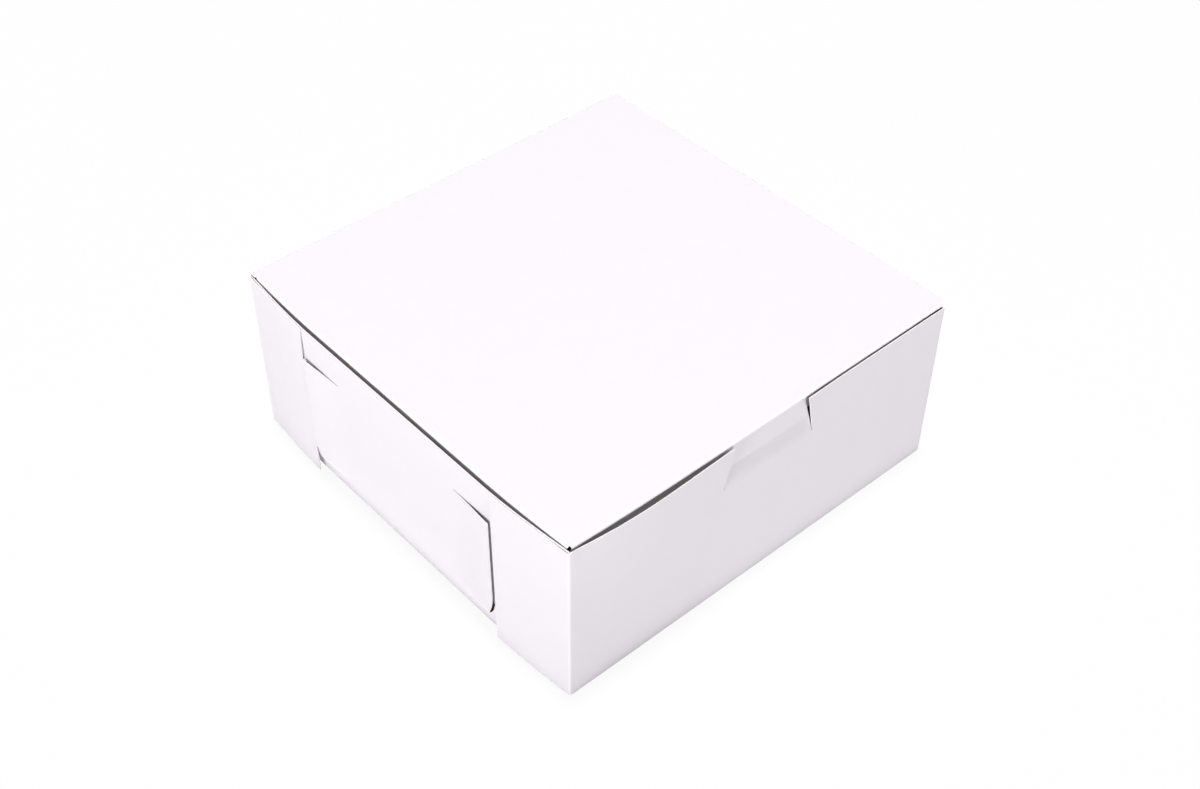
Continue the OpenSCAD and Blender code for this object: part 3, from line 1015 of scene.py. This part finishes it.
class Bench:
    """The node tree of a material or a world, with one method that adds any node."""

    def __init__(self, owner: Any) -> None:
        """Empty the tree of a new material or world."""
        owner.use_nodes = True
        self.owner = owner
        self.tree = owner.node_tree
        self.tree.nodes.clear()

    def node(
        self, kind: str, settings: dict[str, Any], inputs: dict[int | str, Any]
    ) -> bpy.types.Node:
        """Add a node.

        Args:
            kind: The node's type.
            settings: Properties, set before the sockets.
            inputs: Value, colour or wire for each socket, by name or number.

        Returns:
            The node.
        """
        node = self.tree.nodes.new(kind)
        for key, value in settings.items():
            setattr(node, key, value)
        for key, value in inputs.items():
            socket = node.inputs[key]
            if isinstance(value, Wire):
                self.tree.links.new(value.socket, socket)
            else:
                socket.default_value = value
        return node

    def wire(self, node: bpy.types.Node, output: int | str = 0) -> Wire:
        """Wrap a node's output."""
        return Wire(self, node.outputs[output])

    def noise(self, where: Wire, scale: float, detail: float, rough: float) -> Wire:
        """Fractal noise between 0 and 1, by features per metre."""
        inputs = {"Vector": where, "Scale": scale, "Detail": detail, "Roughness": rough}
        return self.wire(self.node("ShaderNodeTexNoise", {}, inputs), "Fac")

    def blend(self, amount: Wire, low: Colour | Wire, high: Colour | Wire) -> Wire:
        """Colour between low and high."""
        settings = {"data_type": "RGBA", "clamp_factor": True}
        return self.wire(self.node("ShaderNodeMix", settings, {0: amount, 6: low, 7: high}), 2)

    def board(self, colour: Wire, rough: Wire, height: Wire, finish: Finish) -> Any:
        """Finish a board's material.

        Args:
            colour: Base colour.
            rough: Roughness.
            height: Height of the bumps.
            finish: The face's own values.

        Returns:
            The material.
        """
        relief = {"Strength": finish.bump, "Distance": finish.bump_depth, "Height": height}
        inputs = {
            "Base Color": colour,
            "Roughness": rough,
            "Normal": self.wire(self.node("ShaderNodeBump", {}, relief)),
            "Specular IOR Level": finish.specular,
        }
        return self.finish(self.wire(self.node("ShaderNodeBsdfPrincipled", {}, inputs)))

    def finish(self, surface: Wire, output: str = "ShaderNodeOutputMaterial") -> Any:
        """Send the surface to the output and hand over what the tree belongs to."""
        self.node(output, {}, {"Surface": surface})
        return self.owner


def linear(red: int, green: int, blue: int) -> Colour:
    """Linear colour of an 8-bit display colour, by the sRGB curve."""

    def channel(value: int) -> float:
        c = value / 255.0
        return c / 12.92 if c <= 0.04045 else ((c + 0.055) / 1.055) ** 2.4

    return channel(red), channel(green), channel(blue), 1.0


@dataclass(frozen=True)
class Finish:
    """What the board's faces share: the tone, and how shiny and how bumpy each one is."""

    tone: Colour
    roughness: float
    specular: float
    bump: float
    bump_depth: float = 0.0002

    def start(self, name: str) -> tuple[Bench, Wire]:
        """Start the material, and wire the object coordinates that its noises use."""
        bench = Bench(bpy.data.materials.new(name))
        return bench, bench.wire(bench.node("ShaderNodeTexCoord", {}, {}), "Object")


@dataclass(frozen=True)
class CoatedFace(Finish):
    """White clay coating on the outside: smooth, dull satin, with a faint cloudy formation."""

    tone: Colour = linear(246, 242, 247)
    roughness: float = 0.46
    specular: float = 0.35
    bump: float = 0.12
    cloud: Colour = linear(243, 240, 244)
    crease_tone: Colour = linear(248, 246, 248)
    cloud_scale: float = 90.0
    grain_scale: float = 2600.0
    fibre_ratio: float = 6.0
    fold_share: float = 0.8
    height_shares: tuple[float, float, float] = (0.35, 0.5, 0.3)
    rough_shares: tuple[float, float, float] = (0.08, 0.05, 0.06)
    rough_drop: float = 0.06

    def make(self) -> bpy.types.Material:
        """Build the material."""
        bench, where = self.start("coated_face")
        fold_node = bench.node("ShaderNodeAttribute", {"attribute_name": "fold"}, {})
        fold = bench.wire(fold_node, "Fac")
        cloud = bench.noise(where, self.cloud_scale, detail=5.0, rough=0.6)
        grain = bench.noise(where, self.grain_scale, detail=2.0, rough=0.55)
        fibre = bench.noise(where, self.grain_scale / self.fibre_ratio, detail=4.0, rough=0.65)
        plain = bench.blend(cloud, self.tone, self.cloud)
        colour = bench.blend(fold * self.fold_share, plain, self.crease_tone)
        height = sum(part * share for part, share in zip((grain, fibre, cloud), self.height_shares))
        rough = sum(part * share for part, share in zip((cloud, fibre, fold), self.rough_shares))
        return bench.board(colour, rough + (self.roughness - self.rough_drop), height, self)


@dataclass(frozen=True)
class PlainFace(Finish):
    """Uncoated inside of the board: a little warmer and rougher, with fine fibre flecks."""

    tone: Colour = linear(240, 237, 234)
    roughness: float = 0.82
    specular: float = 0.2
    bump: float = 0.3
    fleck: Colour = linear(226, 221, 215)
    fleck_from: float = 0.52
    fleck_gain: float = 3.0
    fibre_scale: float = 420.0
    cloud_ratio: float = 7.0
    rough_swing: float = 0.1

    def make(self) -> bpy.types.Material:
        """Build the material."""
        bench, where = self.start("plain_face")
        fibre = bench.noise(where, self.fibre_scale, detail=6.0, rough=0.7)
        cloud = bench.noise(where, self.fibre_scale / self.cloud_ratio, detail=3.0, rough=0.5)
        flecks = (fibre - self.fleck_from) * self.fleck_gain
        colour = bench.blend(flecks, self.tone, self.fleck)
        rough = cloud * self.rough_swing + (self.roughness - self.rough_swing / 2)
        return bench.board(colour, rough, fibre + cloud, self)


@dataclass(frozen=True)
class CutEdge(Finish):
    """Knife-cut edge of the board: bright, matt and fibrous."""

    tone: Colour = linear(248, 241, 244)
    roughness: float = 0.85
    specular: float = 0.1
    bump: float = 0.5
    bump_depth: float = 0.0001
    core: Colour = linear(236, 228, 229)
    core_from: float = 0.35
    core_gain: float = 2.2
    rough_swing: float = 0.1
    fibre_scale: float = 1500.0

    def make(self) -> bpy.types.Material:
        """Build the material."""
        bench, where = self.start("cut_edge")
        fibre = bench.noise(where, self.fibre_scale, detail=4.0, rough=0.7)
        cores = (fibre - self.core_from) * self.core_gain
        rough = fibre * self.rough_swing + self.roughness
        return bench.board(bench.blend(cores, self.tone, self.core), rough, fibre, self)


@dataclass(frozen=True)
class Tabletop:
    """White sweep under the box, lifted towards white for the camera, that keeps the shadow."""

    tone: Colour = linear(238, 237, 238)
    lift: float = 0.92

    def make(self) -> bpy.types.Material:
        """Build the material."""
        bench = Bench(bpy.data.materials.new("tabletop"))
        path = bench.node("ShaderNodeLightPath", {}, {})
        seen = bench.wire(path, "Is Camera Ray")
        glossy = bench.wire(path, "Is Glossy Ray")
        through = bench.wire(path, "Is Transmission Ray")
        board = bench.node("ShaderNodeBsdfDiffuse", {}, {"Color": self.tone})
        glow = bench.node("ShaderNodeEmission", {}, {"Color": WHITE, "Strength": 1.0})
        amount = (seen + glossy + through) * self.lift
        surface = bench.node(
            "ShaderNodeMixShader", {}, {0: amount, 1: bench.wire(board), 2: bench.wire(glow)}
        )
        return bench.finish(bench.wire(surface))


@dataclass(frozen=True)
class Softbox:
    """One large soft source, taken as a wide sun: where it stands, its strength and its width."""

    name: str
    place: tuple[float, float, float]
    strength: float
    width: float

    def build(self) -> None:
        """Add the lamp, turned so that it shines from its place towards the box."""
        data = bpy.data.lights.new(self.name, "SUN")
        data.energy = self.strength
        data.angle = math.radians(self.width)
        lamp = bpy.data.objects.new(self.name, data)
        lamp.rotation_euler = Vector(self.place).to_track_quat("Z", "Y").to_euler()
        bpy.context.scene.collection.objects.link(lamp)


@dataclass
class Studio:
    """Camera, soft lamps and the white sweep that the box stands on."""

    azimuth: float = math.radians(-41.894)
    elevation: float = math.radians(43.451)
    roll: float = math.radians(0.573)
    aim: tuple[float, float, float] = (3.581, 22.137, 956.439)
    focal: float = 1721.09
    picture_w: float = 1200.0
    sensor: float = 36.0
    near: float = 0.01
    softboxes: tuple[Softbox, ...] = (
        Softbox("left", (-0.98, -0.12, 0.02), 1.60, 8.0),
        Softbox("front", (-0.20, -0.98, 0.02), 0.78, 8.0),
        Softbox("top", (0.03, 0.03, 1.00), 3.02, 8.0),
    )
    sky: Colour = (0.13, 0.127, 0.134, 1.0)
    floor_size: float = 6.0

    def camera(self) -> None:
        """Set the camera where the photograph was taken from.

        The view axes are a turn by azimuth and a rise by elevation, then a roll about the view.
        """
        ca, sa = math.cos(self.azimuth), math.sin(self.azimuth)
        ce, se = math.cos(self.elevation), math.sin(self.elevation)
        cr, sr = math.cos(self.roll), math.sin(self.roll)
        right = Vector((ca, sa, 0.0))
        back = Vector((sa * ce, -ca * ce, se))
        up = back.cross(right)
        right, up = cr * right + sr * up, cr * up - sr * right
        place = (self.aim[0] * right + self.aim[1] * up + self.aim[2] * back) * MM
        data = bpy.data.cameras.new("camera")
        data.sensor_fit = "HORIZONTAL"
        data.sensor_width = self.sensor
        data.lens = self.focal / self.picture_w * self.sensor
        data.clip_start = self.near
        camera = bpy.data.objects.new("camera", data)
        turn = Matrix((right, up, back)).transposed()
        camera.matrix_world = Matrix.Translation(place) @ turn.to_4x4()
        bpy.context.scene.collection.objects.link(camera)
        bpy.context.scene.camera = camera

    def lamps(self) -> None:
        """Add the softboxes and a pale even sky."""
        for softbox in self.softboxes:
            softbox.build()
        bench = Bench(bpy.data.worlds.new("sky"))
        path = bench.node("ShaderNodeLightPath", {}, {})
        rays = {0: bench.wire(path, "Is Camera Ray"), 1: bench.wire(path, "Is Transmission Ray")}
        seen = bench.node("ShaderNodeMath", {"operation": "MAXIMUM"}, rays)
        soft = bench.node("ShaderNodeBackground", {}, {"Color": self.sky})
        white = bench.node("ShaderNodeBackground", {}, {"Color": WHITE})
        both = {0: bench.wire(seen), 1: bench.wire(soft), 2: bench.wire(white)}
        choose = bench.wire(bench.node("ShaderNodeMixShader", {}, both))
        bpy.context.scene.world = bench.finish(choose, "ShaderNodeOutputWorld")

    def sweep(self) -> None:
        """Add the white surface that the box stands on."""
        half = self.floor_size / 2
        square = [(-half, -half, 0), (half, -half, 0), (half, half, 0), (-half, half, 0)]
        mesh = bpy.data.meshes.new("sweep")
        mesh.from_pydata(square, [], [(0, 1, 2, 3)])
        mesh.materials.append(Tabletop().make())
        floor = bpy.data.objects.new("sweep", mesh)
        bpy.context.scene.collection.objects.link(floor)

    def build(self) -> None:
        """Add everything round the box."""
        self.camera()
        self.lamps()
        self.sweep()


def corners(box: Any) -> list[list[float]]:
    """Plain lists of a box's lowest and highest corners."""
    return [[float(v) for v in corner] for corner in box]


def main() -> None:
    """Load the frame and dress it."""
    logging.basicConfig(level=logging.INFO, format="%(message)s")
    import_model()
    bpy.context.scene.view_settings.view_transform = "Standard"
    Studio().build()
    sizes = BoxSizes.from_frame()
    materials = (CoatedFace().make(), PlainFace().make(), CutEdge().make())
    tray = Tray(sizes)
    lid = Lid(sizes, tray)
    crease = BackCrease(sizes, lid.half_x - sizes.crease)

    tray_piece = tray.build(materials)
    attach(tray_piece, "tray")
    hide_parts("tray")
    lid_piece = lid.build(materials)
    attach(lid_piece, "lid")
    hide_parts("lid")
    crease_piece = crease.build(materials)
    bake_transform(crease_piece)
    for piece in (tray_piece, lid_piece, crease_piece):
        LOG.info("%s: %d faces", piece.name, len(piece.data.polygons))


if __name__ == "__main__":
    main()
